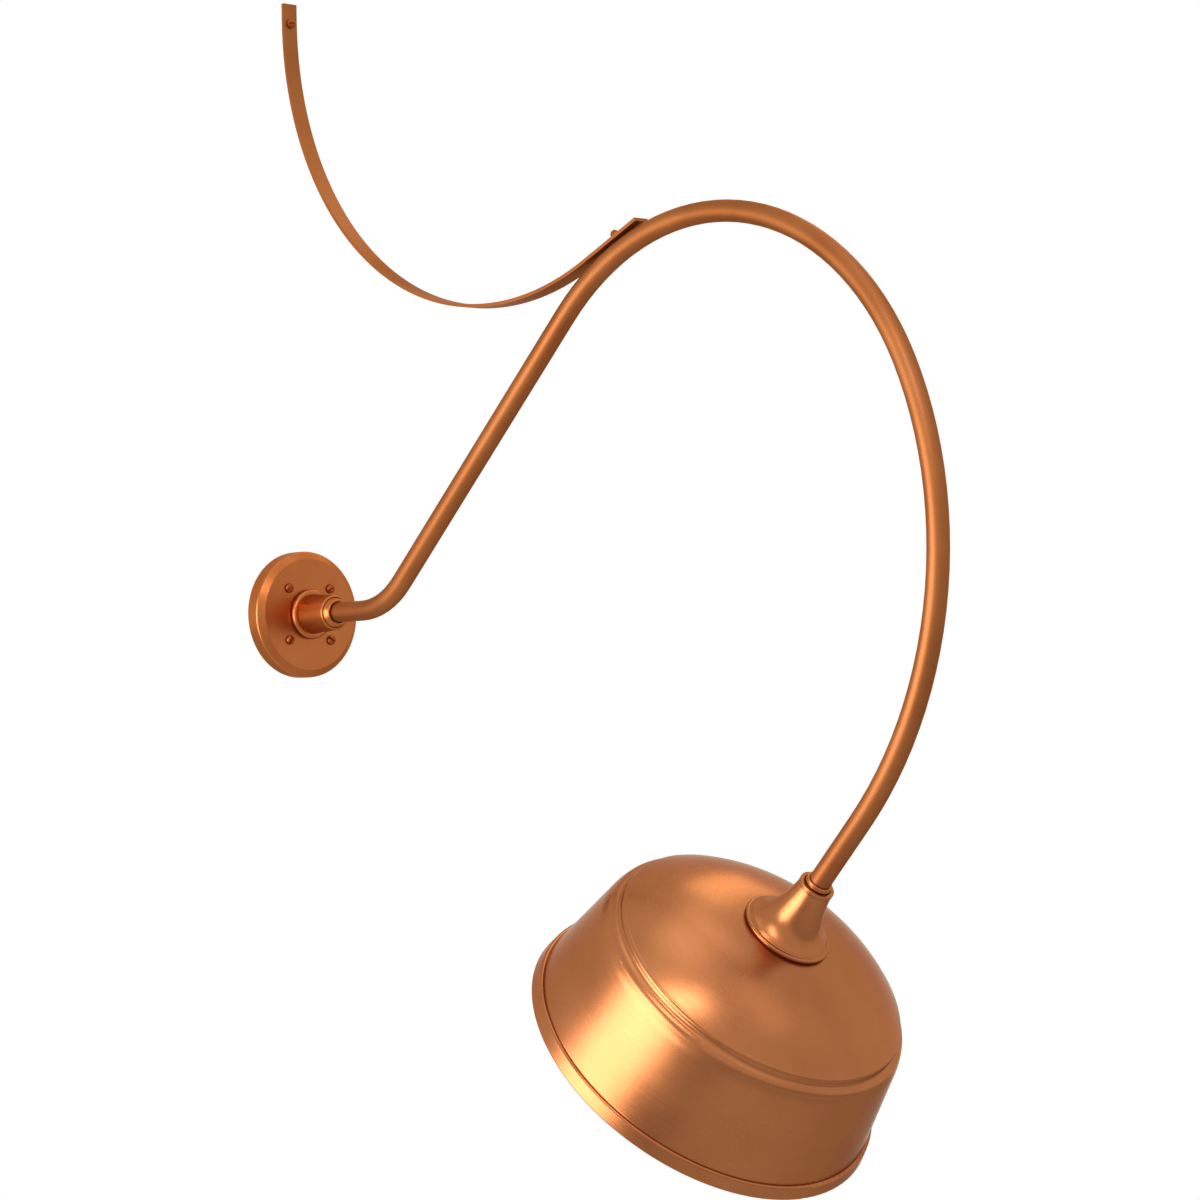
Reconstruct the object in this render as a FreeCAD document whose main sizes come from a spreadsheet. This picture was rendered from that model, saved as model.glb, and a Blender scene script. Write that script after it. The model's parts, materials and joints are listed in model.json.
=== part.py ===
import FreeCAD, Part
import math
import os
import Sketcher

# Gooseneck wall sconce: round wall plate, hub, bent tube arm, brace strap, shade holder and spun shade.
# Millimetres. Origin at the centre of the wall plate on the wall plane; +Z up, +Y into the wall.
# Arm, strap and shade lie in the plane X = 0. "Out" below is the distance from the wall, along -Y.

SIZES = {
    # wall plate, a cast dish
    "plate_dia": 120.65, "plate_out": 17.5, "plate_edge": 13.1, "plate_face_dia": 106.4, "plate_wall": 3.0,
    "plate_round": 1.4, "plate_round_rad": 2.5,
    "boss_dia": 12.0, "boss_gap": 0.4, "screw_circle": 69.85,
    # plate screws, slotted round head
    "screw_dia": 4.8, "thread_dia": 4.2, "screw_head_dia": 9.0, "screw_head_high": 3.2, "screw_reach": 22.0,
    "slot_wide": 1.5, "slot_deep": 1.8, "hole_gap": 0.2,
    # hub, turned, with a bead at its foot and a stepped nose
    "hub_foot_dia": 47.6, "hub_foot_thick": 6.4, "hub_base_dia": 38.0, "hub_end_dia": 33.2,
    "hub_end_out": 57.0, "hub_end_round": 1.6, "hub_step": 0.5, "hub_lip_dia": 26.0, "hub_lip_wide": 1.6,
    "hub_nose_out": 62.4, "hub_mouth_dia": 21.0, "hub_bore_out": 45.0, "spigot_dia": 26.0, "spigot_out": 6.5,
    "fit_gap": 0.05, "locknut_flats": 36.0, "locknut_thick": 5.0,
    "grub_dia": 5.0, "grub_long": 7.0, "grub_out": 36.0, "grub_slot": 0.9, "holder_grub_long": 6.4,
    # arm tube: stub, bend, straight run, two long arcs and the run into the shade holder
    "tube_dia": 19.05, "tube_wall": 1.65, "tube_start": 8.0, "stub_long": 97.8, "bend_rad": 85.3,
    "rise_angle": 43.57, "rise_long": 325.8, "crest_rad": 257.8, "crest_angle": 107.8,
    "drop_rad": 328.7, "drop_angle": 70.1, "drop_long": 69.2, "tail_long": 38.0,
    # brace strap
    "strap_wide": 15.88, "strap_thick": 3.18, "strap_rad": 304.8, "strap_top": 589.8, "strap_hole_down": 19.3,
    "strap_run": 38.2, "strap_tail": 35.0, "strap_seat_gap": 0.3, "wall_screw_reach": 6.4,
    "clip_screw_dia": 4.2, "clip_screw_reach": 9.0, "clip_head_dia": 8.0, "clip_head_high": 8.4,
    # shade holder, measured down the shade axis from the end of the arm's arcs
    "holder_top": 3.0, "holder_mouth_dia": 25.0, "holder_lip_dia": 31.2, "holder_lip_end": 6.4,
    "holder_waist_dia": 41.6, "holder_waist": 33.0, "holder_flare_dia": 68.4, "holder_flare": 50.9,
    "holder_base_dia": 78.4, "holder_base_top": 53.0, "holder_base": 57.5, "holder_wall": 2.6, "holder_bead": 2.0,
    "holder_neck_rad": 120.0, "holder_flare_rad": 30.0, "holder_ring_dia": 52.0, "holder_ring_thick": 4.0,
    "web_top": 7.0, "web_base": 19.7, "cavity_dia": 30.6, "turn_gap": 0.075,
    "ferrule_dia": 23.4, "ferrule_top": -1.3, "ferrule_ridge": 0.5, "holder_grub_down": 13.5,
    # spun shade
    "sheet": 1.0, "shade_hole_dia": 43.0, "seat_in": 0.7, "crown_rad": 160.0, "crown_dia": 258.8,
    "crown_down": 96.0, "bead_high": 4.4, "bead_out": 2.3, "bead_rad": 4.2, "groove_high": 4.0,
    "groove_out": 2.9, "groove_rad": 4.2, "shoulder_high": 5.8, "shoulder_out": 4.8, "shoulder_rad": 8.5,
    "eave_high": 8.6, "eave_out": 2.6, "eave_rad": 32.0, "side_high": 75.6, "side_out": 13.6,
    "rim_step_high": 3.2, "rim_step_out": 3.7, "rim_high": 10.8, "rim_out": 1.9, "rim_roll": 1.2,
    "rim_thick": 4.0,
    "shade_screw_circle": 60.0, "shade_screw_dia": 4.0, "shade_screw_head": 8.0, "shade_screw_high": 2.8,
    # lamp socket on the tube end
    "jam_thick": 4.5, "jam_flats": 25.0, "jam_gap": 0.3, "cap_top": 30.0, "cap_top_dia": 32.0, "cap_dia": 35.0,
    "cap_end": 50.0, "cap_floor": 40.0, "cap_wall": 1.6, "socket_dia": 38.0, "socket_end": 94.0,
    "socket_bore": 28.2, "socket_floor": 64.0, "shell_wall": 0.4, "shell_end": 90.5, "shell_gap": 0.05,
    "contact_dia": 9.0, "contact_thick": 1.0, "post_dia": 3.0, "post_spread": 18.0, "post_head": 5.4,
    "terminal_dia": 3.0, "terminal_spread": 22.0, "terminal_head": 6.0,
    # lamp
    "lamp_cap_dia": 26.4, "lamp_cap_top": 70.0, "lamp_cap_end": 95.0, "lamp_gap": 0.3, "tip_dia": 8.6,
    "lamp_neck_dia": 25.4, "lamp_dia": 60.0, "lamp_split": 128.0, "lamp_end": 173.0, "lamp_wall": 1.6,
    "board_thick": 1.6,
    # cable in the arm, its bushings, leads and connectors
    "cable_dia": 7.0, "cable_back": 1.0, "socket_seat": 3.0, "bushing_flange": 19.0, "bushing_thick": 1.5, "bushing_deep": 10.0,
    "lead_dia": 2.0, "lead_side": 1.7, "lead_out": 3.4, "lead_bend": 4.0, "nut_dia": 9.0, "nut_long": 18.0,
    "nut_spread": 62.0, "nut_out": 6.4, "ground_down": 33.0, "ground_boss_dia": 9.0, "ground_out": 8.0,
    "ground_nut_down": 46.0, "lead_turn": 12.0,
}


# Where each plate screw's slot came to rest, in degrees from level, by its side and height.
SLOT_TURNS = {(-1, -1): 55.0, (-1, 1): 20.0, (1, -1): -35.0, (1, 1): 28.0}


class Size:
    """A size worked out from the sheet: its formula as text and its present value."""

    def __init__(self, text, value):
        self.text = text
        self.value = value

    def join(self, sign, other, value):
        return Size("(%s %s %s)" % (self.text, sign, size(other).text), value)

    def __add__(self, other):
        return self.join("+", other, self.value + size(other).value)

    def __sub__(self, other):
        return self.join("-", other, self.value - size(other).value)

    def __mul__(self, other):
        return self.join("*", other, self.value * size(other).value)

    def __truediv__(self, other):
        return self.join("/", other, self.value / size(other).value)

    def __neg__(self):
        return Size("(0 - %s)" % self.text, -self.value)


def size(thing):
    if isinstance(thing, Size):
        return thing
    return Size("%.9g" % thing, float(thing))


def sine(angle):
    return Size("sin(%s)" % angle.text, math.sin(math.radians(angle.value)))


def cosine(angle):
    return Size("cos(%s)" % angle.text, math.cos(math.radians(angle.value)))


def arc_sine(ratio):
    return Size("(asin(%s) / 1deg)" % ratio.text, math.degrees(math.asin(ratio.value)))


def arc_tangent(ratio):
    return Size("(atan(%s) / 1deg)" % ratio.text, math.degrees(math.atan(ratio.value)))


def root(square):
    return Size("sqrt(%s)" % square.text, math.sqrt(square.value))


doc = FreeCAD.newDocument("GooseneckSconce")
sheet = doc.addObject("Spreadsheet::Sheet", "sizes")
for row, (alias, number) in enumerate(SIZES.items(), start=1):
    sheet.set("A%d" % row, alias)
    sheet.set("B%d" % row, str(number))
    sheet.setAlias("B%d" % row, alias)
doc.recompute()


def cell(alias):
    return Size("sizes.%s" % alias, float(sheet.get(alias)))


def half(alias):
    return cell(alias) / 2


# ---------------------------------------------------------------- sketches and features

def new_body(name):
    body = doc.addObject("PartDesign::Body", name)
    body.Label = name
    body.AllowCompound = True
    return body


def origin_plane(body, role):
    return next(item for item in body.Origin.OriginFeatures if item.Role == role)


def new_sketch(body, name, role, offset=None):
    sketch = body.newObject("Sketcher::SketchObject", name)
    sketch.AttachmentSupport = [(origin_plane(body, role), "")]
    sketch.MapMode = "FlatFace"
    if offset is not None:
        sketch.setExpression("AttachmentOffset.Base.z", offset.text)
    return sketch


def fix_point(sketch, edge, end, place):
    """Hold one end of an edge at a place given by two sizes."""
    for kind, amount in zip(("DistanceX", "DistanceY"), place):
        index = sketch.addConstraint(Sketcher.Constraint(kind, -1, 1, edge, end, amount.value))
        sketch.setExpression("Constraints[%d]" % index, amount.text)


def arc_between(start, end, radius):
    """Minor arc from start to end; a positive radius turns left, a negative one turns right."""
    chord = end - start
    middle = (start + end) / 2
    left = FreeCAD.Vector(-chord.y, chord.x, 0).normalize()
    rise = math.sqrt(max(radius * radius - chord.Length ** 2 / 4, 0))
    centre = middle + left * math.copysign(rise, radius)
    first, last = (start, end) if radius > 0 else (end, start)
    angles = [math.atan2((point - centre).y, (point - centre).x) for point in (first, last)]
    circle = Part.Circle(centre, FreeCAD.Vector(0, 0, 1), abs(radius))
    return Part.ArcOfCircle(circle, angles[0], angles[1])


def draw(sketch, points, closed=True):
    """Outline through points (x, y) or (x, y, radius); the radius shapes the edge that arrives there."""
    places = [(size(point[0]), size(point[1])) for point in points]
    corners = [FreeCAD.Vector(x.value, y.value, 0) for x, y in places]
    count = len(points)
    ends = []
    for index in range(count if closed else count - 1):
        after = (index + 1) % count
        if len(points[after]) > 2:
            bend = size(points[after][2])
            edge = sketch.addGeometry(arc_between(corners[index], corners[after], bend.value), False)
            rule = sketch.addConstraint(Sketcher.Constraint("Radius", edge, abs(bend.value)))
            sketch.setExpression("Constraints[%d]" % rule, "abs(%s)" % bend.text)
            ends.append((edge, 1, 2) if bend.value > 0 else (edge, 2, 1))
        else:
            edge = sketch.addGeometry(Part.LineSegment(corners[index], corners[after]), False)
            ends.append((edge, 1, 2))
        fix_point(sketch, edge, ends[-1][1], places[index])
    for (edge, _, last), (following, first, _) in zip(ends, ends[1:] + ends[:1] if closed else ends[1:]):
        sketch.addConstraint(Sketcher.Constraint("Coincident", edge, last, following, first))
    if not closed:
        fix_point(sketch, ends[-1][0], ends[-1][2], places[-1])


def circle(sketch, x, y, radius):
    x, y, radius = size(x), size(y), size(radius)
    centre = FreeCAD.Vector(x.value, y.value, 0)
    edge = sketch.addGeometry(Part.Circle(centre, FreeCAD.Vector(0, 0, 1), radius.value), False)
    fix_point(sketch, edge, 3, (x, y))
    index = sketch.addConstraint(Sketcher.Constraint("Radius", edge, radius.value))
    sketch.setExpression("Constraints[%d]" % index, radius.text)


def rectangle(sketch, x, y, wide, high):
    """Rectangle about the centre (x, y)."""
    left, right = size(x) - size(wide) / 2, size(x) + size(wide) / 2
    low, top = size(y) - size(high) / 2, size(y) + size(high) / 2
    draw(sketch, [(left, low), (right, low), (right, top), (left, top)])


def slot_outline(sketch, x, y, long, wide, turn):
    """Rectangle about the centre (x, y), turned by an angle in degrees."""
    across, up = math.cos(math.radians(turn)), math.sin(math.radians(turn))
    corners = [(size(long) / 2 * side, size(wide) / 2 * top) for side, top in ((-1, -1), (1, -1), (1, 1), (-1, 1))]
    draw(sketch, [(size(x) + a * across - b * up, size(y) + a * up + b * across) for a, b in corners])


def turned(body, name, points, role, axis, kind="PartDesign::Revolution"):
    sketch = new_sketch(body, name + "_outline", role)
    draw(sketch, points)
    feature = body.newObject(kind, name)
    feature.Profile = sketch
    feature.ReferenceAxis = (sketch, [axis])
    feature.Angle = 360.0
    doc.recompute()
    return feature


def pad(body, sketch, name, length, midplane=False, reverse=False):
    feature = body.newObject("PartDesign::Pad", name)
    feature.Profile = sketch
    feature.setExpression("Length", size(length).text)
    feature.SideType = "Symmetric" if midplane else "One side"
    feature.Reversed = reverse
    doc.recompute()
    return feature


def pocket(body, sketch, name, length, midplane=False, reverse=False):
    before = body.Shape.Volume
    feature = body.newObject("PartDesign::Pocket", name)
    feature.Profile = sketch
    feature.setExpression("Length", size(length).text)
    feature.SideType = "Symmetric" if midplane else "One side"
    feature.Reversed = reverse
    doc.recompute()
    if body.Shape.Volume > before - 1e-3:
        raise RuntimeError("%s cuts nothing in %s" % (name, body.Label))
    return feature


def wall_turned(name, points, kind="PartDesign::Revolution", body=None):
    """Turned about the Y axis; points are (out, radius)."""
    owner = body or new_body(name)
    turned(owner, name + ("_turned" if body is None else "_cut"),
           [(-size(point[0]), *point[1:]) for point in points], "YZ_Plane", "H_Axis", kind)
    return owner


def axis_turned(name, points, body=None, kind="PartDesign::Revolution"):
    """Turned about the shade axis; points are (down, radius), on a body that stands on that axis."""
    owner = body or shade_body(name)
    turned(owner, name + ("_turned" if body is None else "_cut"),
           [(point[1], -size(point[0]), *point[2:]) for point in points], "XZ_Plane", "V_Axis", kind)
    return owner


# ---------------------------------------------------------------- arm line, in the plane X = 0

rise = cell("rise_angle")
crest_end_heading = rise - cell("crest_angle")
end_heading = crest_end_heading - cell("drop_angle")
bend_end = (cell("stub_long") + cell("bend_rad") * sine(rise),
            cell("bend_rad") * (size(1) - cosine(rise)))
rise_end = (bend_end[0] + cell("rise_long") * cosine(rise), bend_end[1] + cell("rise_long") * sine(rise))
crest_centre = (rise_end[0] + cell("crest_rad") * sine(rise), rise_end[1] - cell("crest_rad") * cosine(rise))
crest_end = (crest_centre[0] - cell("crest_rad") * sine(crest_end_heading),
             crest_centre[1] + cell("crest_rad") * cosine(crest_end_heading))
drop_centre = (crest_end[0] + cell("drop_rad") * sine(crest_end_heading),
               crest_end[1] - cell("drop_rad") * cosine(crest_end_heading))
drop_end = (drop_centre[0] - cell("drop_rad") * sine(end_heading),
            drop_centre[1] + cell("drop_rad") * cosine(end_heading))
arm_end = (drop_end[0] + cell("drop_long") * cosine(end_heading),
           drop_end[1] + cell("drop_long") * sine(end_heading))
tube_end = (arm_end[0] + cell("tail_long") * cosine(end_heading),
            arm_end[1] + cell("tail_long") * sine(end_heading))
tube_bore = cell("tube_dia") - cell("tube_wall") * 2


def arm_route(start_out, end_point):
    """Outline points of the arm's line from a distance out to a point on its last run, as (y, z)."""
    stops = [(size(start_out), size(0)), (cell("stub_long"), size(0)),
             (*bend_end, -cell("bend_rad")), rise_end, (*crest_end, cell("crest_rad")),
             (*drop_end, cell("drop_rad")), end_point]
    return [(-stop[0], *stop[1:]) for stop in stops]


def swept_arm(name, radii, start_out, end_point):
    body = new_body(name)
    route = new_sketch(body, name + "_route", "YZ_Plane")
    draw(route, arm_route(start_out, end_point), closed=False)
    section = new_sketch(body, name + "_section", "XZ_Plane", size(start_out))
    for radius in radii:
        circle(section, 0, 0, radius)
    doc.recompute()
    pipe = body.newObject("PartDesign::AdditivePipe", name + "_sweep")
    pipe.Profile = section
    pipe.Spine = (route, ["Edge%d" % (index + 1) for index in range(route.GeometryCount)])
    doc.recompute()
    return body


def stand_on_shade_axis(body):
    """Local origin at the end of the arm's arcs, local +Z up the shade axis."""
    body.setExpression("Placement.Base.y", (-arm_end[0]).text)
    body.setExpression("Placement.Base.z", arm_end[1].text)
    body.Placement = FreeCAD.Placement(body.Placement.Base, FreeCAD.Rotation(FreeCAD.Vector(1, 0, 0), 1))
    body.setExpression("Placement.Rotation.Angle", (-(end_heading + 90)).text)


def shade_body(name):
    body = new_body(name)
    shade_axis_bodies.append(body)
    return body


shade_axis_bodies = []


# ---------------------------------------------------------------- wall plate and what fixes it

def screw_place():
    return cell("screw_circle") / 2 * math.sqrt(0.5)


def make_wall_plate():
    wall = cell("plate_wall")
    inner_edge = cell("plate_edge") - wall * 0.6
    high, wide = cell("plate_out") - cell("plate_edge"), half("plate_dia") - half("plate_face_dia")
    share = cell("plate_round") / root(high * high + wide * wide)
    body = wall_turned("wall_plate", [
        (0, half("plate_dia") - wall), (0, half("plate_dia")),
        (cell("plate_edge") - cell("plate_round"), half("plate_dia")),
        (cell("plate_edge") + high * share, half("plate_dia") - wide * share, cell("plate_round_rad")),
        (cell("plate_out"), half("plate_face_dia")), (cell("plate_out"), half("spigot_dia") + cell("fit_gap")),
        (cell("plate_out") - wall, half("spigot_dia") + cell("fit_gap")),
        (cell("plate_out") - wall, half("plate_face_dia") - wall * 0.4), (inner_edge, half("plate_dia") - wall)])
    bosses = new_sketch(body, "bosses", "XZ_Plane", cell("boss_gap"))
    place = screw_place()
    for side in (-1, 1):
        for up in (-1, 1):
            circle(bosses, place * side, place * up, half("boss_dia"))
    pad(body, bosses, "screw_bosses", cell("plate_out") - wall - cell("boss_gap") + 0.5)
    ground = new_sketch(body, "ground_boss_outline", "XZ_Plane", cell("ground_out"))
    circle(ground, 0, -cell("ground_down"), half("ground_boss_dia"))
    pad(body, ground, "ground_boss", cell("plate_out") - wall - cell("ground_out") + 0.5)
    holes = new_sketch(body, "screw_holes_outline", "XZ_Plane", cell("plate_out"))
    for side in (-1, 1):
        for up in (-1, 1):
            circle(holes, place * side, place * up, half("screw_dia") + cell("hole_gap"))
    pocket(body, holes, "screw_holes", cell("plate_out"))
    tapped = new_sketch(body, "ground_hole_outline", "XZ_Plane", cell("ground_out"))
    circle(tapped, 0, -cell("ground_down"), half("terminal_dia") + cell("fit_gap"))
    pocket(body, tapped, "ground_hole", 6, reverse=True)
    return body


def slotted_screw(name, head, high, shank, thread, neck, reach):
    """Round head standing on Z = 0, slotted along X; its shank runs down to -neck, its thread to -reach."""
    body = new_body(name)
    tip = thread * 0.4
    turned(body, name + "_turned", [
        (size(0), -reach), (thread - tip, -reach), (thread, tip - reach), (thread, -neck), (shank, -neck),
        (shank, size(0)), (head, size(0)), (head, high * 0.55), (size(0), high, head * 1.25)], "XZ_Plane", "V_Axis")
    slot = new_sketch(body, name + "_slot_outline", "YZ_Plane")
    rectangle(slot, 0, high, cell("slot_wide"), cell("slot_deep") * 2)
    pocket(body, slot, name + "_slot", head * 3, midplane=True)
    return body


def wall_screw_at(body, out, high_up):
    """Turn a screw so that its head faces away from the wall."""
    body.setExpression("Placement.Base.y", (-size(out)).text)
    body.setExpression("Placement.Base.z", size(high_up).text)
    body.Placement = FreeCAD.Placement(body.Placement.Base, FreeCAD.Rotation(FreeCAD.Vector(1, 0, 0), 90))


def make_plate_screws():
    """Four screws through the plate's bosses; their threads stand out behind the wall plane."""
    body = new_body("plate_screws")
    place = screw_place()
    out = cell("plate_out")
    head, high = half("screw_head_dia"), cell("screw_head_high")
    made = []
    for name, start, length, radius in (("heads", out, high, head), ("shanks", size(0), out, half("screw_dia")),
                                        ("threads", -cell("screw_reach"), cell("screw_reach"), half("thread_dia"))):
        sketch = new_sketch(body, name + "_outline", "XZ_Plane", start)
        for side in (-1, 1):
            for up in (-1, 1):
                circle(sketch, place * side, place * up, radius)
        made.append(pad(body, sketch, name, length))
    tops = body.newObject("PartDesign::Fillet", "head_rounds")
    level = -(out + high).value
    edges = [index for index, edge in enumerate(body.Shape.Edges, start=1)
             if abs(edge.BoundBox.YMin - level) < 1e-4 and abs(edge.BoundBox.YMax - level) < 1e-4]
    tops.Base = (made[-1], ["Edge%d" % index for index in edges])
    tops.setExpression("Radius", (high * 0.75).text)
    doc.recompute()
    slots = new_sketch(body, "slots_outline", "XZ_Plane", out + high)
    for (side, up), turn in SLOT_TURNS.items():
        slot_outline(slots, place * side, place * up, head * 3, cell("slot_wide"), turn)
    pocket(body, slots, "slots", cell("slot_deep"))
    return body


def make_hub():
    gap = cell("fit_gap")
    foot = cell("plate_out") + cell("hub_foot_thick")
    bead = cell("hub_foot_thick") / 2
    bore = half("tube_dia") + gap
    end, end_radius, round_off = cell("hub_end_out"), half("hub_end_dia"), cell("hub_end_round")
    nose, lip, lip_wide = cell("hub_nose_out"), half("hub_lip_dia"), cell("hub_lip_wide")
    body = wall_turned("hub", [
        (cell("spigot_out"), bore), (cell("spigot_out"), half("spigot_dia")),
        (cell("plate_out"), half("spigot_dia")), (cell("plate_out"), half("hub_foot_dia") - bead),
        (foot, half("hub_foot_dia") - bead, bead), (foot, half("hub_base_dia")),
        (end - round_off, end_radius), (end, end_radius - round_off, round_off),
        (end - cell("hub_step"), end_radius - round_off - cell("hub_step")),
        (nose - lip_wide, lip - cell("hub_step")), (nose - lip_wide, lip), (nose, lip - lip_wide, lip_wide),
        (nose, half("hub_mouth_dia")), (cell("hub_bore_out"), half("hub_mouth_dia")),
        (cell("hub_bore_out"), bore)])
    hole = new_sketch(body, "grub_hole_outline", "XY_Plane")
    circle(hole, 0, -cell("grub_out"), half("grub_dia") + gap)
    pocket(body, hole, "grub_hole", half("hub_base_dia") + 2)
    return body


def make_hexagon(body, name, flats, start, length, bore, role):
    """Hexagon nut of a width over its flats, bored, from an offset along a plane's normal."""
    sketch = new_sketch(body, name + "_outline", role, start)
    corner = flats / 2 / math.cos(math.pi / 6)
    points = []
    for step in range(6):
        angle = math.radians(60 * step)
        points.append((corner * math.cos(angle), corner * math.sin(angle)))
    draw(sketch, points)
    circle(sketch, 0, 0, bore)
    return pad(body, sketch, name + "_pad", length)


def make_hub_locknut():
    body = new_body("hub_locknut")
    start = cell("plate_out") - cell("plate_wall") - cell("locknut_thick") - cell("fit_gap")
    make_hexagon(body, "locknut", cell("locknut_flats"), start, cell("locknut_thick"),
                 half("spigot_dia") + cell("fit_gap"), "XZ_Plane")
    return body


def make_hub_grub():
    body = new_body("hub_set_screw")
    top = -(half("tube_dia") + cell("fit_gap") * 2)
    sketch = new_sketch(body, "grub_outline", "XY_Plane", top)
    circle(sketch, 0, -cell("grub_out"), half("grub_dia"))
    pad(body, sketch, "grub", cell("grub_long"), reverse=True)
    slot = new_sketch(body, "grub_slot_outline", "XY_Plane", top - cell("grub_long"))
    rectangle(slot, 0, -cell("grub_out"), cell("grub_dia") * 2, cell("grub_slot"))
    pocket(body, slot, "grub_slot_cut", cell("grub_slot") * 1.5, reverse=True)
    return body


# ---------------------------------------------------------------- brace strap

# The strap runs down the wall, bends away from it in one arc and runs straight on over the arm's crest.
strap_line = half("strap_thick")
strap_over = cell("crest_rad") + half("tube_dia") + cell("strap_seat_gap") + half("strap_thick")
strap_centre_out = strap_line + cell("strap_rad")
strap_span = cell("strap_rad") + strap_over
strap_slope = (arc_sine((crest_centre[0] - strap_centre_out)
                        / root(strap_span * strap_span + cell("strap_run") * cell("strap_run")))
               - arc_tangent(cell("strap_run") / strap_span))


def on_strap(along, side):
    """Point on the strap's straight run, by its way past the crest's contact and its offset from mid thickness."""
    reach = strap_over + side
    return (crest_centre[0] - reach * sine(strap_slope) + size(along) * cosine(strap_slope),
            crest_centre[1] + reach * cosine(strap_slope) + size(along) * sine(strap_slope))


def make_strap():
    body = new_body("brace_strap")
    faces = (half("strap_thick"), -half("strap_thick"))
    top = cell("strap_top")
    centre_up = on_strap(-cell("strap_run"), cell("strap_rad"))[1]
    start = [(strap_line + side, centre_up) for side in faces]
    bend = [cell("strap_rad") - side for side in faces]
    leave = [on_strap(-cell("strap_run"), side) for side in faces]
    end = [on_strap(cell("strap_tail"), side) for side in faces]
    outline = [(start[0][0], top), start[0], (*leave[0], -bend[0]), end[0], end[1],
               leave[1], (*start[1], bend[1]), (start[1][0], top)]
    sketch = new_sketch(body, "strap_outline", "YZ_Plane")
    draw(sketch, [(-point[0], *point[1:]) for point in outline])
    pad(body, sketch, "strap_bar", cell("strap_wide"), midplane=True)
    hole = new_sketch(body, "strap_wall_hole_outline", "XZ_Plane")
    circle(hole, 0, cell("strap_top") - cell("strap_hole_down"), half("screw_dia") + cell("hole_gap"))
    pocket(body, hole, "strap_wall_hole", cell("strap_thick") * 4, midplane=True)
    return body


def make_strap_wall_screw():
    seat = cell("strap_thick") + cell("fit_gap")
    body = slotted_screw("strap_wall_screw", half("screw_head_dia"), cell("screw_head_high"), half("screw_dia"),
                         half("thread_dia"), seat, seat + cell("wall_screw_reach"))
    wall_screw_at(body, seat, cell("strap_top") - cell("strap_hole_down"))
    return body


def stand_on_strap(body, side):
    """Stand a body over the crest's contact, its +Z along the strap's normal."""
    out, height = on_strap(0, side)
    body.setExpression("Placement.Base.y", (-out).text)
    body.setExpression("Placement.Base.z", height.text)
    body.Placement = FreeCAD.Placement(body.Placement.Base, FreeCAD.Rotation(FreeCAD.Vector(-1, 0, 0), 1))
    body.setExpression("Placement.Rotation.Angle", strap_slope.text)


def make_clip_screw():
    shank = half("clip_screw_dia")
    body = slotted_screw("strap_clip_screw", half("clip_head_dia"), cell("clip_head_high"), shank,
                         shank - cell("fit_gap"), cell("clip_screw_reach") / 2, cell("clip_screw_reach"))
    stand_on_strap(body, half("strap_thick"))
    return body


def bored(name, blank, tool_radius, reach):
    """A part with a round hole square to the strap's straight end, for the clip screw."""
    drill = doc.addObject("Part::Cylinder", name + "_drill")
    drill.setExpression("Radius", size(tool_radius).text)
    drill.setExpression("Height", (size(reach) * 2).text)
    stand_on_strap(drill, -size(reach))
    cut = doc.addObject("Part::Cut", name)
    cut.Base = blank
    cut.Tool = drill
    cut.Label = name
    doc.recompute()
    return cut


# ---------------------------------------------------------------- shade, its holder and its fixings

def make_shade_holder():
    wall = cell("holder_wall")
    lip, base = half("holder_lip_dia"), half("holder_base_dia")
    edge = 0.8
    bead = cell("holder_bead")
    mouth = half("holder_mouth_dia")
    seat = half("ferrule_dia") + cell("turn_gap")
    bore = half("tube_dia") + cell("turn_gap")
    shelf = cell("holder_base") - cell("holder_ring_thick")
    outside = [
        (cell("holder_top"), mouth), (cell("holder_top"), lip - edge), (cell("holder_top") + edge, lip, -edge),
        (cell("holder_lip_end"), lip), (cell("web_top"), lip - edge / 2),
        (cell("holder_waist"), half("holder_waist_dia"), cell("holder_neck_rad")),
        (cell("holder_flare"), half("holder_flare_dia"), cell("holder_flare_rad")),
        (cell("holder_base_top"), base - bead * 1.5), (cell("holder_base_top"), base - bead),
        (cell("holder_base_top") + bead, base, -bead), (cell("holder_base") - bead, base),
        (cell("holder_base"), base - bead, -bead)]
    inside = [
        (cell("holder_base"), half("holder_ring_dia")), (shelf, half("holder_ring_dia")),
        (shelf, half("holder_flare_dia") - wall),
        (cell("holder_waist") + wall / 2, half("holder_waist_dia") - wall, -(cell("holder_flare_rad") + wall)),
        (cell("web_base"), half("cavity_dia")), (cell("web_base"), bore), (cell("web_top"), bore),
        (cell("web_top"), seat), (cell("holder_top") + wall, seat), (cell("holder_top") + wall, mouth)]
    body = axis_turned("shade_holder", outside + inside)
    grub = new_sketch(body, "holder_grub_outline", "YZ_Plane")
    circle(grub, 0, -cell("holder_grub_down"), half("grub_dia") + cell("fit_gap"))
    pocket(body, grub, "holder_grub_hole", lip * 2, reverse=True)
    holes = new_sketch(body, "holder_holes_outline", "XY_Plane", -cell("holder_base"))
    draw_on_circle(holes, half("shade_screw_circle"), half("shade_screw_dia") + cell("fit_gap"))
    pocket(body, holes, "holder_holes", cell("holder_ring_thick"), reverse=True)
    return body


def make_holder_grub():
    body = shade_body("holder_set_screw")
    inner = half("tube_dia") + cell("turn_gap") + cell("fit_gap")
    sketch = new_sketch(body, "holder_grub_body_outline", "YZ_Plane", inner)
    circle(sketch, 0, -cell("holder_grub_down"), half("grub_dia"))
    pad(body, sketch, "holder_grub_body", cell("holder_grub_long"))
    slot = new_sketch(body, "holder_grub_slot_outline", "YZ_Plane", inner + cell("holder_grub_long"))
    rectangle(slot, 0, -cell("holder_grub_down"), cell("grub_dia") * 2, cell("grub_slot"))
    pocket(body, slot, "holder_grub_slot", cell("grub_slot") * 1.5)
    return body


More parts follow.
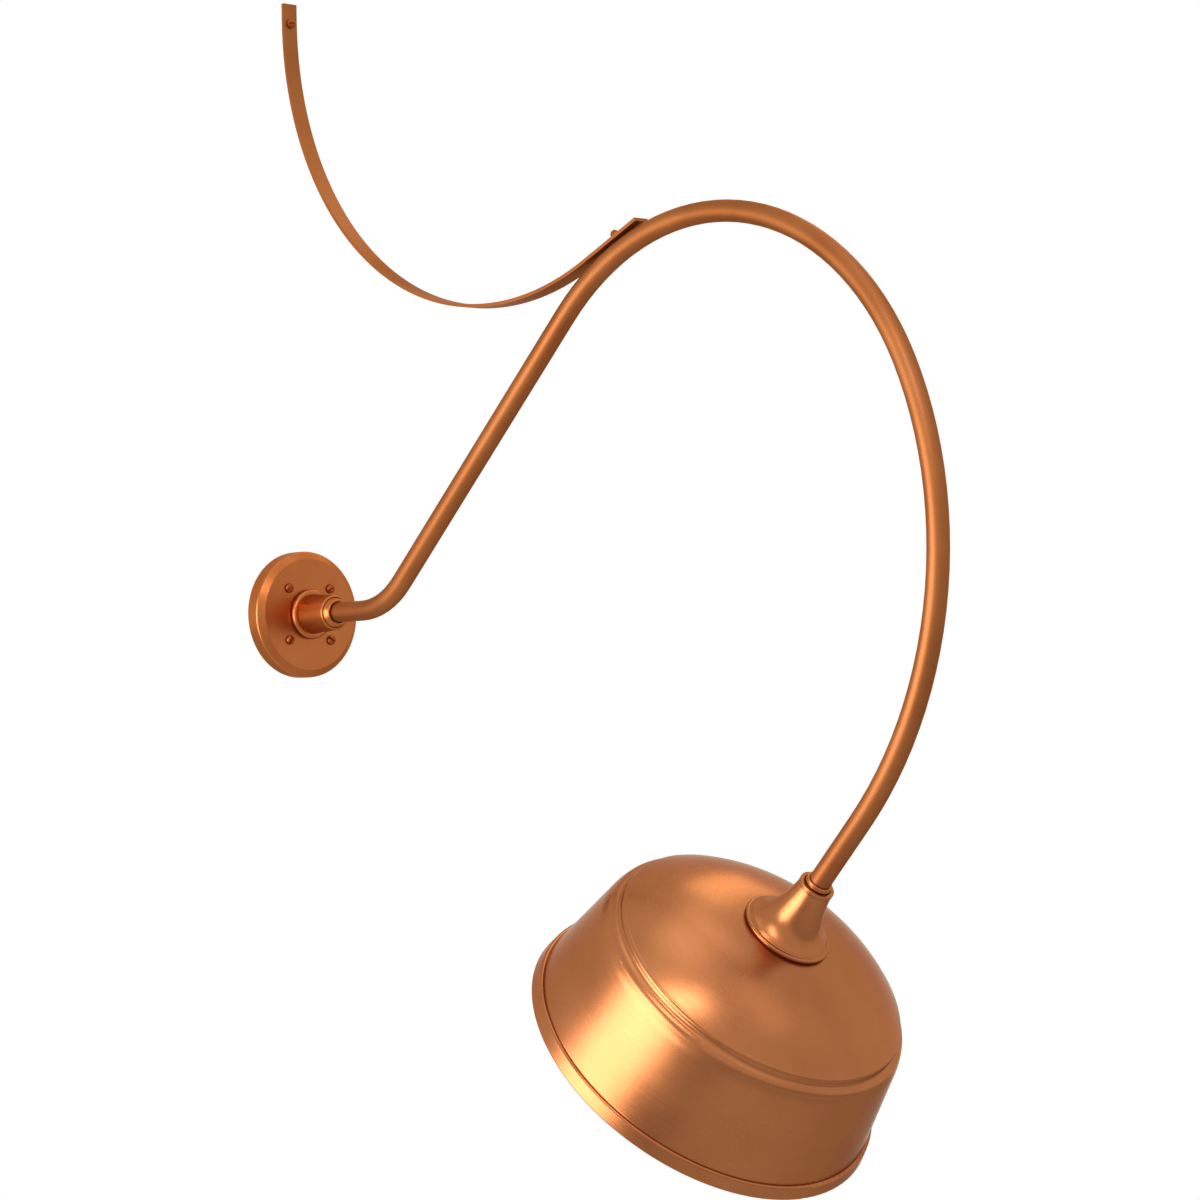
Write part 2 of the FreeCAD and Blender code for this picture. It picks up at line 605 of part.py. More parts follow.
def make_ferrule():
    ridge = cell("ferrule_ridge")
    radius = half("ferrule_dia")
    bore = half("tube_dia") + cell("fit_gap")
    top = cell("ferrule_top")
    foot = cell("web_top") - cell("turn_gap")
    return axis_turned("neck_ferrule", [
        (top, bore), (top, radius - ridge * 2), (top + ridge * 2, radius, -ridge * 2), (top + ridge * 4, radius),
        (top + ridge * 5, radius - ridge), (top + ridge * 6, radius), (foot, radius), (foot, bore)])


def shade_outline():
    """Outside of the spun sheet from its seat to the rim, then its inside back, as (down, radius)."""
    thick, roll = cell("sheet"), cell("rim_roll")
    top, seat = cell("holder_base"), half("holder_base_dia") - cell("seat_in")
    crown = cell("crown_down"), half("crown_dia")
    bead = crown[0] + cell("bead_high"), crown[1] + cell("bead_out")
    groove = bead[0] + cell("groove_high"), bead[1] + cell("groove_out")
    shoulder = groove[0] + cell("shoulder_high"), groove[1] + cell("shoulder_out")
    eave = shoulder[0] + cell("eave_high"), shoulder[1] + cell("eave_out")
    foot = eave[0] + cell("side_high"), eave[1] + cell("side_out")
    step = foot[0] + cell("rim_step_high"), foot[1] + cell("rim_step_out")
    rim = step[0] + cell("rim_high"), step[1] + cell("rim_out")
    outside = [
        (top, half("shade_hole_dia")), (top, seat), (*crown, -cell("crown_rad")), (*bead, -cell("bead_rad")),
        (*groove, cell("groove_rad")), (*shoulder, -cell("shoulder_rad")), (*eave, -cell("eave_rad")), foot,
        (foot[0] + roll, foot[1] + roll / 4), (*step, cell("rim_step_out") * -0.7), (rim[0] - roll, rim[1]),
        (rim[0], rim[1] - roll, -roll)]
    inside = [
        (rim[0], rim[1] - cell("rim_thick")), (step[0], step[1] - cell("rim_thick")),
        (foot[0], foot[1] - thick), (eave[0] + thick * 0.17, eave[1] - thick * 0.98),
        (shoulder[0] + thick * 0.33, shoulder[1] - thick * 0.94, cell("eave_rad") - thick),
        (groove[0] + thick * 0.93, groove[1] - thick * 0.36, cell("shoulder_rad") - thick),
        (bead[0] - thick * 0.07, bead[1] - thick, -(cell("groove_rad") + thick)),
        (crown[0] + thick * 0.84, crown[1] - thick * 0.54, cell("bead_rad") - thick),
        (top + thick, seat, cell("crown_rad") - thick), (top + thick, half("shade_hole_dia"))]
    return outside + inside


def make_shade():
    body = axis_turned("shade", shade_outline())
    holes = new_sketch(body, "shade_holes_outline", "XY_Plane", -cell("holder_base") + 1)
    draw_on_circle(holes, half("shade_screw_circle"), half("shade_screw_dia") + cell("hole_gap"))
    pocket(body, holes, "shade_holes", 8)
    return body


def draw_on_circle(sketch, ring, radius, copies=3, first=90.0):
    for step in range(copies):
        angle = math.radians(first + 360.0 / copies * step)
        circle(sketch, ring * math.cos(angle), ring * math.sin(angle), radius)


def make_shade_screws():
    """Three screws up through the crown into the holder's base, heads inside the shade."""
    body = shade_body("shade_screws")
    under = cell("holder_base") + cell("sheet")
    heads = new_sketch(body, "screw_heads_outline", "XY_Plane", -under)
    draw_on_circle(heads, half("shade_screw_circle"), half("shade_screw_head"))
    pad(body, heads, "screw_heads", cell("shade_screw_high"), reverse=True)
    shanks = new_sketch(body, "screw_shanks_outline", "XY_Plane", -under)
    draw_on_circle(shanks, half("shade_screw_circle"), half("shade_screw_dia"))
    pad(body, shanks, "screw_shanks", cell("sheet") + cell("holder_ring_thick") * 0.9)
    return body


# ---------------------------------------------------------------- lamp socket on the tube's end

def make_jam_nut():
    body = shade_body("jam_nut")
    start = -(cell("web_base") + cell("jam_gap") + cell("jam_thick"))
    make_hexagon(body, "jam", cell("jam_flats"), start, cell("jam_thick"), half("tube_dia") + cell("fit_gap"),
                 "XY_Plane")
    return body


def make_socket_cap():
    wall = cell("cap_wall")
    bore = half("tube_dia") + cell("fit_gap")
    return axis_turned("socket_cap", [
        (cell("cap_top"), bore), (cell("cap_top"), half("cap_top_dia") - 3.0),
        (cell("cap_top") + 4.0, half("cap_dia"), -5.2), (cell("cap_end"), half("cap_dia")),
        (cell("cap_end"), half("cap_dia") - wall), (cell("cap_floor"), half("cap_dia") - wall),
        (cell("cap_floor"), bore)])


def make_socket_body():
    outer = half("socket_dia")
    bore = half("socket_bore")
    top = cell("cap_end") - cell("socket_seat")
    body = axis_turned("socket_body", [
        (top, 0), (top, half("cap_dia") - cell("cap_wall") - 0.2),
        (cell("cap_end"), half("cap_dia") - cell("cap_wall") - 0.2), (cell("cap_end"), outer - 1.5),
        (cell("cap_end") + 1.5, outer, -1.5), (cell("socket_end") - 1.5, outer),
        (cell("socket_end"), outer - 1.5, -1.5), (cell("socket_end"), bore), (cell("socket_floor"), bore),
        (cell("socket_floor"), 0)])
    posts = new_sketch(body, "post_holes_outline", "XY_Plane", -cell("socket_floor") - 1)
    draw_on_circle(posts, half("post_spread"), half("post_dia") + cell("fit_gap"), 2)
    pocket(body, posts, "post_holes", cell("socket_floor") - top + 4, reverse=True)
    screws = new_sketch(body, "terminal_holes_outline", "XY_Plane", -top + 1)
    draw_on_circle(screws, half("terminal_spread"), half("terminal_dia") + cell("fit_gap"), 2, 0.0)
    pocket(body, screws, "terminal_holes", 11)
    return body


def make_screw_shell():
    outer = half("socket_bore") - cell("shell_gap")
    inner = outer - cell("shell_wall")
    floor = cell("socket_floor") + cell("shell_gap")
    return axis_turned("screw_shell", [
        (floor, half("post_spread") + half("post_dia") + 0.6), (floor, outer), (cell("shell_end"), outer),
        (cell("shell_end"), inner), (floor + cell("shell_wall"), inner),
        (floor + cell("shell_wall"), half("post_spread") + half("post_dia") + 0.6)])


def make_centre_contact():
    floor = cell("socket_floor") + cell("shell_gap")
    return axis_turned("centre_contact", [
        (floor, 0), (floor, half("contact_dia")), (floor + cell("contact_thick"), half("contact_dia")),
        (cell("lamp_cap_top") - 3.2 - cell("lamp_gap"), half("contact_dia") - 2.0),
        (cell("lamp_cap_top") - 3.2 - cell("lamp_gap"), 0)])


def make_socket_screws():
    body = shade_body("socket_screws")
    floor = cell("socket_floor") + cell("shell_gap")
    heads = new_sketch(body, "post_heads_outline", "XY_Plane", -floor - cell("shell_wall"))
    draw_on_circle(heads, half("post_spread"), half("post_head"), 2)
    pad(body, heads, "post_heads", 2.0, reverse=True)
    posts = new_sketch(body, "posts_outline", "XY_Plane", -floor - cell("shell_wall"))
    draw_on_circle(posts, half("post_spread"), half("post_dia"), 2)
    pad(body, posts, "posts", cell("socket_floor") - cell("cap_end") + 5.0)
    return body


def make_terminal_screws():
    body = shade_body("terminal_screws")
    top = cell("cap_end") - cell("socket_seat")
    heads = new_sketch(body, "terminal_heads_outline", "XY_Plane", -top + cell("fit_gap") + cell("lead_dia"))
    draw_on_circle(heads, half("terminal_spread"), half("terminal_head"), 2, 0.0)
    pad(body, heads, "terminal_heads", 2.2)
    shanks = new_sketch(body, "terminal_shanks_outline", "XY_Plane", -top - 8.0)
    draw_on_circle(shanks, half("terminal_spread"), half("terminal_dia"), 2, 0.0)
    pad(body, shanks, "terminal_shanks", cell("lead_dia") + 8.5)
    return body


# ---------------------------------------------------------------- lamp

def make_lamp_cap():
    return axis_turned("lamp_cap", [
        (cell("lamp_cap_top"), half("tip_dia") + 0.4), (cell("lamp_cap_top"), half("lamp_cap_dia") - 2.0),
        (cell("lamp_cap_top") + 2.0, half("lamp_cap_dia"), -2.0), (cell("lamp_cap_end"), half("lamp_cap_dia")),
        (cell("lamp_cap_end"), half("lamp_cap_dia") - 0.5),
        (cell("lamp_cap_top") + 2.2, half("lamp_cap_dia") - 0.5),
        (cell("lamp_cap_top") + 0.5, half("tip_dia") + 0.4)])


def make_lamp_contact():
    return axis_turned("lamp_contact", [
        (cell("lamp_cap_top") - 3.2, 0), (cell("lamp_cap_top") - 3.2, half("tip_dia") - 2.4),
        (cell("lamp_cap_top") - 2.0, half("tip_dia") - 1.2, -1.6), (cell("lamp_cap_top") + 0.5, half("tip_dia") + 0.35),
        (cell("lamp_cap_top") + 2.4, half("tip_dia") + 0.35), (cell("lamp_cap_top") + 2.4, 0)])


def make_lamp_body():
    wall = cell("lamp_wall")
    neck = half("lamp_neck_dia")
    start = cell("lamp_cap_end") - 9.0
    return axis_turned("lamp_body", [
        (start, neck - wall), (start, neck), (cell("lamp_cap_end") + 6.0, neck),
        (cell("lamp_split"), half("lamp_dia") - 3.2, 70.0), (cell("lamp_split"), half("lamp_dia") - 3.2 - wall),
        (cell("lamp_split") - 2.0, half("lamp_dia") - 3.6 - wall),
        (cell("lamp_cap_end") + 6.6, neck - wall, -71.0)])


def make_led_board():
    board = half("lamp_dia") - 3.2 - cell("lamp_wall") - 0.3
    return axis_turned("led_board", [
        (cell("lamp_split") - cell("board_thick"), 0), (cell("lamp_split") - cell("board_thick"), board - 0.4),
        (cell("lamp_split"), board - 0.2), (cell("lamp_split"), 0)])


def make_lamp_globe():
    radius = half("lamp_dia")
    centre = cell("lamp_end") - radius
    wall = cell("lamp_wall")
    start = cell("lamp_split") + cell("fit_gap")
    inner = radius - wall
    side = root(radius * radius - (centre - start) * (centre - start))
    inner_side = root(inner * inner - (centre - start) * (centre - start))
    return axis_turned("lamp_globe", [
        (start, inner_side, inner), (start, side), (centre, radius, -radius), (cell("lamp_end"), 0, -radius),
        (cell("lamp_end") - wall, 0), (centre, inner, inner)])


# ---------------------------------------------------------------- cable, bushings and leads

def make_bushings():
    """Plastic bushings in both mouths of the tube."""
    bore = half("cable_dia") + cell("fit_gap")
    sleeve = tube_bore / 2 - cell("fit_gap")
    start = cell("tube_start")
    wall_turned("inlet_bushing", [
        (start - cell("bushing_thick"), bore), (start - cell("bushing_thick"), half("bushing_flange")),
        (start, half("bushing_flange")), (start, sleeve), (start + cell("bushing_deep"), sleeve - 0.4),
        (start + cell("bushing_deep"), bore)])
    end = cell("tail_long")
    axis_turned("outlet_bushing", [
        (end - cell("bushing_deep"), bore), (end - cell("bushing_deep"), sleeve - 0.4), (end, sleeve),
        (end, half("tube_dia") - 0.8), (end + 1.2, half("tube_dia") - 0.8), (end + 1.2, bore)])


def pipe_along(points, radius):
    """Round lead through points, with an equal arc at each inner point."""
    bend = cell("lead_bend").value
    edges = []
    at = points[0]
    for before, corner, after in zip(points, points[1:], points[2:]):
        toward = (before - corner).normalize()
        onward = (after - corner).normalize()
        turn = math.pi - toward.getAngle(onward)
        reach = bend * math.tan(turn / 2)
        first, last = corner + toward * reach, corner + onward * reach
        middle_way = (toward + onward).normalize()
        mid = corner + middle_way * (math.hypot(reach, bend) - bend)
        edges.append(Part.LineSegment(at, first).toShape())
        edges.append(Part.Arc(first, mid, last).toShape())
        at = last
    edges.append(Part.LineSegment(at, points[-1]).toShape())
    path = Part.Wire(edges)
    ring = Part.makeCircle(radius, points[0], points[1] - points[0])
    return path.makePipe(Part.Face(Part.Wire(ring)))


def lead(name, points, placement=None):
    feature = doc.addObject("Part::Feature", name)
    feature.Label = name
    solid = pipe_along(points, half("lead_dia").value)
    feature.Shape = solid
    if placement is not None:
        feature.Placement = placement
    return feature


def make_wall_leads():
    """Leads from the cable's end to two connectors, and the ground lead from its screw to a third."""
    start = cell("tube_start").value + cell("lead_bend").value
    side = cell("lead_side").value
    deep = cell("lead_out").value
    level = cell("nut_out").value
    spread = half("nut_spread").value
    mouth = -half("nut_long").value
    turn_down = mouth - cell("lead_bend").value - half("lead_dia").value
    for name, way in (("lead_live", 1), ("lead_neutral", -1)):
        lead(name, [FreeCAD.Vector(way * side, -start, 0), FreeCAD.Vector(way * side, -deep, 0),
                    FreeCAD.Vector(way * cell("lead_turn").value, -deep, turn_down),
                    FreeCAD.Vector(way * spread, -level, turn_down), FreeCAD.Vector(way * spread, -level, mouth / 2)])
    beside = half("terminal_dia").value + half("lead_dia").value + cell("fit_gap").value * 2
    under_head = cell("ground_out").value - half("lead_dia").value
    ground = -cell("ground_down").value + beside
    down = -cell("ground_nut_down").value
    lead("lead_ground", [FreeCAD.Vector(beside, -under_head, ground), FreeCAD.Vector(-spread / 2, -under_head, ground),
                         FreeCAD.Vector(-spread / 2, -level, down), FreeCAD.Vector(mouth / 2, -level, down)])


def make_connectors():
    """Three wire connectors lying in the hollow: two upright with their mouths down, one on its side."""
    body = new_body("wire_connectors")
    spread = half("nut_spread")
    upright = new_sketch(body, "connector_outline", "XY_Plane", -half("nut_long"))
    lying = new_sketch(body, "side_connector_outline", "YZ_Plane", -half("nut_long"))
    bores = new_sketch(body, "connector_bore_outline", "XY_Plane", -half("nut_long"))
    side_bore = new_sketch(body, "side_bore_outline", "YZ_Plane", -half("nut_long"))
    for side in (-1, 1):
        circle(upright, spread * side, -cell("nut_out"), half("nut_dia"))
        circle(bores, spread * side, -cell("nut_out"), half("lead_dia") + cell("fit_gap"))
    circle(lying, -cell("nut_out"), -cell("ground_nut_down"), half("nut_dia"))
    circle(side_bore, -cell("nut_out"), -cell("ground_nut_down"), half("lead_dia") + cell("fit_gap"))
    pad(body, upright, "connectors", cell("nut_long"))
    pad(body, lying, "side_connector", cell("nut_long"))
    pocket(body, bores, "connector_bores", cell("nut_long") * 0.6, reverse=True)
    pocket(body, side_bore, "side_connector_bore", cell("nut_long") * 0.6, reverse=True)
    return body


def make_ground_screw():
    shank = half("terminal_dia")
    body = slotted_screw("ground_screw", half("terminal_head") + 0.6, size(2.0), shank, shank - cell("fit_gap"),
                         cell("lead_dia") + cell("fit_gap"), size(7.0))
    body.setExpression("Placement.Base.y", (-(cell("ground_out") - cell("lead_dia") - cell("fit_gap"))).text)
    body.setExpression("Placement.Base.z", (-cell("ground_down")).text)
    body.Placement = FreeCAD.Placement(body.Placement.Base, FreeCAD.Rotation(FreeCAD.Vector(1, 0, 0), -90))
    return body


def make_socket_leads():
    """Leads from the cable's end to the socket's terminals."""
    cable_end = cell("tail_long").value - cell("cable_back").value
    side = cell("lead_side").value
    reach = half("terminal_spread").value - half("terminal_dia").value - cell("fit_gap").value * 2
    level = cell("cap_end").value - cell("socket_seat").value - half("lead_dia").value
    tilt = FreeCAD.Rotation(FreeCAD.Vector(1, 0, 0), -(end_heading.value + 90))
    place = FreeCAD.Placement(FreeCAD.Vector(0, -arm_end[0].value, arm_end[1].value), tilt)
    for name, way in (("socket_lead_live", 1), ("socket_lead_neutral", -1)):
        lead(name, [FreeCAD.Vector(way * side, 0, -cable_end), FreeCAD.Vector(way * side, 0, -level),
                    FreeCAD.Vector(way * reach, 0, -level)], place)


# ---------------------------------------------------------------- build, check and write

make_wall_plate()
make_plate_screws()
make_hub()
make_hub_locknut()
make_hub_grub()
tube_blank = swept_arm("arm_tube_blank", [half("tube_dia"), tube_bore / 2], cell("tube_start"), tube_end)
cable_tail = cell("tail_long") - cell("cable_back")
cable_end_point = (arm_end[0] + cable_tail * cosine(end_heading), arm_end[1] + cable_tail * sine(end_heading))
swept_arm("supply_cable", [half("cable_dia")], cell("tube_start") + cell("lead_bend"), cable_end_point)
make_bushings()
strap_blank = make_strap()
strap_blank.Label = "brace_strap_blank"
make_strap_wall_screw()
make_clip_screw()
bored("arm_tube", tube_blank, half("clip_screw_dia") + cell("fit_gap"), cell("tube_dia") / 2)
bored("brace_strap", strap_blank, half("clip_screw_dia") + cell("hole_gap"), cell("strap_thick"))
make_shade_holder()
make_ferrule()
make_holder_grub()
make_shade()
make_shade_screws()
make_jam_nut()
make_socket_cap()
make_socket_body()
make_screw_shell()
make_centre_contact()
make_socket_screws()
make_terminal_screws()
make_lamp_cap()
make_lamp_contact()
make_lamp_body()
make_led_board()
make_lamp_globe()
make_wall_leads()
make_connectors()
make_ground_screw()
make_socket_leads()
for standing in shade_axis_bodies:
    stand_on_shade_axis(standing)
doc.recompute()

broken = [item.Name for item in doc.Objects if "Invalid" in item.State or "Error" in item.State]
if broken:
    raise RuntimeError("failed objects: %s" % ", ".join(broken))
nodes = [item for item in doc.Objects
         if item.TypeId in ("PartDesign::Body", "Part::Cut", "Part::Feature") and not item.Label.endswith("_blank")]
for node in nodes:
    if node.Shape.isNull() or not node.Shape.isValid() or not node.Shape.Solids:
        raise RuntimeError("bad shape: %s" % node.Label)
os.makedirs("parts", exist_ok=True)
for node in nodes:
    node.Shape.exportStep("parts/%s.step" % node.Label)
    print("%-22s %2d solid(s) %12.1f mm3" % (node.Label, len(node.Shape.Solids), node.Shape.Volume))
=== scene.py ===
import json
import math

import bpy
from mathutils import Matrix, Vector


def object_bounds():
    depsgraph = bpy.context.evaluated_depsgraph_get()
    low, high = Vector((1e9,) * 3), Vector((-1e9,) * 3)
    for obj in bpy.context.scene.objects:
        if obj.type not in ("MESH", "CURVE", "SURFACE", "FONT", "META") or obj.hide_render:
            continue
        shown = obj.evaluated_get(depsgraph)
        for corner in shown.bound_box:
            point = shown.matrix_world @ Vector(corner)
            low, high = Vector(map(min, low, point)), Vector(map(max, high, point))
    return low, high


# Gooseneck wall sconce in satin copper. Metres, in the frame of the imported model: origin at the
# centre of the wall plate, +Z up, +Y into the wall, arm and shade in the plane X = 0.

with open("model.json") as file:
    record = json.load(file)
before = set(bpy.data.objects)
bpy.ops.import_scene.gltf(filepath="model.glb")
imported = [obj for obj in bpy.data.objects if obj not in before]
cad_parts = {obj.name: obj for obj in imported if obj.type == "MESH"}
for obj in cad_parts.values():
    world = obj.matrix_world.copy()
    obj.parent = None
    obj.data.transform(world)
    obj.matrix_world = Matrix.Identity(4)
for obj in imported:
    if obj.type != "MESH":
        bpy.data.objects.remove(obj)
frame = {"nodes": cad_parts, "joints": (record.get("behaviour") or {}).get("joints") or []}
cad_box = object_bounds()
nodes = frame["nodes"]
joints = {joint["name"]: joint for joint in frame["joints"]}

SHADE_POINT = Vector(joints["shade_turn"]["pos_m"])
SHADE_AXIS = Vector(joints["shade_turn"]["axis"]).normalized()
SHADE_TO_MIDDLE = 0.13
PLATE_POINT = (0, 0, 0)
PLATE_AXIS = Vector((0, -1, 0))

# Camera of the photograph: azimuth, elevation and roll in degrees, lens and sensor in millimetres
CAMERA_PLACE = (-2.24291, -2.91452, -0.14401)
CAMERA_ANGLES = (-42.09, -2.38, -1.20)
CAMERA_LENS, CAMERA_SENSOR = 114.78, 36.0
CAMERA_REACH = 100

# Floor, room and lamps
FLOOR_PLACE, FLOOR_RADIUS, FLOOR_SIDES = (0, -0.4, -2.8), 12.0, 96
FLOOR_COLOUR, FLOOR_ROUGHNESS = (0.90, 0.90, 0.89, 1), 0.9
WHITE = (1, 1, 1, 1)
ROOM_LIGHT = (0.62, 0.62, 0.63, 1)

# Softboxes: what they point at, azimuth and elevation in degrees, distance, width, height and
# brightness
SOFTBOXES = {
    "key_left": ("shade", -101, 2, 2.3, 1.9, 1.7, 6.5),
    "over_camera": ("shade", -44, 45, 2.4, 1.0, 0.45, 9.0),
    "overhead": ("whole", 10, 74, 2.4, 1.6, 1.2, 1.0),
    "front_right": ("whole", 12, 32, 2.6, 0.9, 1.3, 0.5),
    "right_back": ("whole", 106, 48, 2.6, 0.8, 1.3, 2.2),
}

# Linear colours; the coppers as deep, middle and pale tone
SPUN = ((0.30, 0.088, 0.022), (0.375, 0.120, 0.033), (0.44, 0.162, 0.054))
FITTING = ((0.34, 0.088, 0.018), (0.420, 0.120, 0.027), (0.50, 0.160, 0.042))
TUBE = ((0.25, 0.071, 0.017), (0.315, 0.101, 0.026), (0.375, 0.134, 0.041))
# The screws' copper is set darker than the plate's: painted shade for the shadow in and round the
# screw heads
SCREW_PAINTED_SHADE = ((0.20, 0.038, 0.007), (0.30, 0.064, 0.012), (0.38, 0.094, 0.022))
EDGE_TINT = (0.66, 0.40, 0.21, 1)
STEEL = (0.50, 0.50, 0.49)
BRASS = (0.72, 0.50, 0.20)
NICKEL = (0.62, 0.60, 0.56)

# Surface of the copper: noise scales per metre; for turned work along its axis, away from it and
# round it
DRAWN_SCALE, DRAWN_STRETCH = 2600.0, (1.0, 0.35, 0.35)
TURNED_STRETCH = (1700.0, 1700.0, 5.0)
MOTTLE_SCALE, SPECK_SCALE = 9.0, 420.0

# Bands of noise, and the shares or roughness steps that they give
NOISE_BAND = (0.3, 0.7)
MOTTLE_BAND = (0.32, 0.70)
GRAIN_BAND = GRAIN_SHARE = (0.35, 0.65)
GRAIN_DULLS = (-0.035, 0.035)
MOTTLE_DULLS = (-0.03, 0.05)
GRAIN_HEIGHT, SPECK_HEIGHT = 0.7, 0.5
LACQUER_ROUGHNESS = 0.26

# Surface of the small metal pieces and of plastic, insulation and glaze
MARK_SCALE, MARK_STRETCH = 900.0, (1, 1, 0.2)
MARK_BAND = (0.35, 0.7)
MARK_SHADE = 0.78
MARK_DULLS = (-0.05, 0.08)
MOULD_SCALE = 260.0
MOULD_DULLS = (-0.05, 0.05)
GLAZE_ROUGHNESS = 0.08

# Colour sockets of the Mix node
MIX_FIRST, MIX_SECOND, MIX_RESULT = 6, 7, 2


# ---------------------------------------------------------------- node helpers

class Graph:
    """A material's node tree with short calls for the nodes used here."""

    def __init__(self, name):
        self.material = bpy.data.materials.new(name)
        self.material.use_nodes = True
        self.tree = self.material.node_tree
        self.shader = self.tree.nodes["Principled BSDF"]

    def node(self, kind, **settings):
        made = self.tree.nodes.new(kind)
        for key, value in settings.items():
            setattr(made, key, value)
        return made

    def link(self, source, target):
        self.tree.links.new(source, target)

    def feed(self, name, source):
        """Link a value or colour to a socket of the shader."""
        self.link(source, self.shader.inputs[name])

    def set(self, **values):
        for key, value in values.items():
            self.shader.inputs[key.replace("_", " ")].default_value = value

    def coordinates(self):
        return self.node("ShaderNodeTexCoord").outputs["Object"]

    def stretched(self, source, scale):
        mapping = self.node("ShaderNodeMapping")
        mapping.inputs["Scale"].default_value = scale
        self.link(source, mapping.inputs["Vector"])
        return mapping.outputs["Vector"]

    def noise(self, source, scale, detail=2.0, roughness=0.5):
        noise = self.node("ShaderNodeTexNoise")
        noise.inputs["Scale"].default_value = scale
        noise.inputs["Detail"].default_value = detail
        noise.inputs["Roughness"].default_value = roughness
        self.link(source, noise.inputs["Vector"])
        return noise.outputs["Fac"]

    def spread(self, source, band, result=(0.0, 1.0)):
        """Map a value from a band to a result's band."""
        node = self.node("ShaderNodeMapRange")
        limits = zip(("From Min", "From Max", "To Min", "To Max"), (*band, *result))
        for key, value in limits:
            node.inputs[key].default_value = value
        self.link(source, node.inputs["Value"])
        return node.outputs["Result"]

    def math(self, kind, *values):
        node = self.node("ShaderNodeMath", operation=kind)
        for socket, value in zip(node.inputs, values):
            if isinstance(value, float):
                socket.default_value = value
            else:
                self.link(value, socket)
        return node.outputs["Value"]

    def mix(self, factor, first, second):
        node = self.node("ShaderNodeMix", data_type="RGBA")
        self.link(factor, node.inputs["Factor"])
        for slot, colour in ((MIX_FIRST, first), (MIX_SECOND, second)):
            if isinstance(colour, tuple):
                node.inputs[slot].default_value = (*colour, 1)
            else:
                self.link(colour, node.inputs[slot])
        return node.outputs[MIX_RESULT]

    def bump(self, height, strength, distance):
        node = self.node("ShaderNodeBump")
        node.inputs["Strength"].default_value = strength
        node.inputs["Distance"].default_value = distance
        self.link(height, node.inputs["Height"])
        self.feed("Normal", node.outputs["Normal"])


def about_axis(graph, place, axis):
    """Distance along an axis, distance from it and angle round it, as one vector."""
    turn = axis.rotation_difference(Vector((0, 0, 1))).to_matrix()
    mapping = graph.node("ShaderNodeMapping", vector_type="POINT")
    mapping.inputs["Rotation"].default_value = turn.to_euler()
    mapping.inputs["Location"].default_value = -(turn @ Vector(place))
    graph.link(graph.coordinates(), mapping.inputs["Vector"])
    split = graph.node("ShaderNodeSeparateXYZ")
    graph.link(mapping.outputs["Vector"], split.inputs["Vector"])
    x, y, along = (split.outputs[key] for key in "XYZ")
    square = graph.math("ADD", graph.math("MULTIPLY", x, x), graph.math("MULTIPLY", y, y))
    joined = graph.node("ShaderNodeCombineXYZ")
    parts = (along, graph.math("SQRT", square), graph.math("ARCTAN2", y, x))
    for key, value in zip("XYZ", parts):
        graph.link(value, joined.inputs[key])
    return joined.outputs["Vector"]


def shifted(band, step):
    return tuple(limit + step for limit in band)


# ---------------------------------------------------------------- materials

def satin_copper(name, tones, place=None, axis=None, rough=0.33, seed=0.0, lacquer=0.12):
    """Lacquered copper with a fine satin grain: round an axis where one is given, else straight."""
    deep, middle, pale = tones
    graph = Graph(name)
    plain = graph.coordinates()
    if axis is None:
        grain = graph.noise(graph.stretched(plain, DRAWN_STRETCH), DRAWN_SCALE)
    else:
        rings = graph.stretched(about_axis(graph, place, axis), TURNED_STRETCH)
        grain = graph.noise(rings, scale=1.0, detail=3.0, roughness=0.6)
    mottle = graph.noise(plain, MOTTLE_SCALE + seed, detail=3.0, roughness=0.55)
    speck = graph.noise(plain, SPECK_SCALE + seed, roughness=0.6)
    tone = graph.mix(graph.spread(mottle, MOTTLE_BAND), deep, pale)
    graph.feed("Base Color", graph.mix(graph.spread(grain, GRAIN_BAND, GRAIN_SHARE), tone, middle))
    graph.feed("Roughness", graph.math(
        "ADD", graph.spread(grain, NOISE_BAND, GRAIN_DULLS),
        graph.spread(mottle, NOISE_BAND, shifted(MOTTLE_DULLS, rough))))
    height = graph.math("ADD", graph.math("MULTIPLY", grain, GRAIN_HEIGHT),
                        graph.math("MULTIPLY", speck, SPECK_HEIGHT))
    graph.bump(height, strength=0.10, distance=0.0002)
    graph.set(Metallic=1.0, Specular_Tint=EDGE_TINT, Coat_Weight=lacquer,
              Coat_Roughness=LACQUER_ROUGHNESS)
    return graph.material


def noise_finish(graph, noise, band, colour, shade, rough, dulls):
    """Colour from its shaded to its full tone, and roughness round its value, both by a noise."""
    shaded = tuple(channel * shade for channel in colour)
    graph.feed("Base Color", graph.mix(graph.spread(noise, band), shaded, colour))
    graph.feed("Roughness", graph.spread(noise, NOISE_BAND, shifted(dulls, rough)))


def plated(name, colour, rough):
    """Small plated or stamped metal with fine handling marks."""
    graph = Graph(name)
    marks = graph.noise(graph.stretched(graph.coordinates(), MARK_STRETCH), MARK_SCALE, detail=3.0)
    noise_finish(graph, marks, MARK_BAND, colour, MARK_SHADE, rough, MARK_DULLS)
    graph.bump(marks, strength=0.08, distance=0.0001)
    graph.set(Metallic=1.0)
    return graph.material


def moulded(name, colour, rough, shade=0.85, coat=0.0, glow=0.0):
    """Plastic, insulation or glaze with a faint uneven surface."""
    graph = Graph(name)
    uneven = graph.noise(graph.coordinates(), MOULD_SCALE, detail=3.0)
    noise_finish(graph, uneven, NOISE_BAND, colour, shade, rough, MOULD_DULLS)
    graph.bump(uneven, strength=0.12, distance=0.0002)
    graph.set(Coat_Weight=coat, Coat_Roughness=GLAZE_ROUGHNESS, Subsurface_Weight=glow)
    return graph.material


SHADE_TURNED = {"place": SHADE_POINT, "axis": SHADE_AXIS}
PLATE_TURNED = {"place": PLATE_POINT, "axis": PLATE_AXIS}

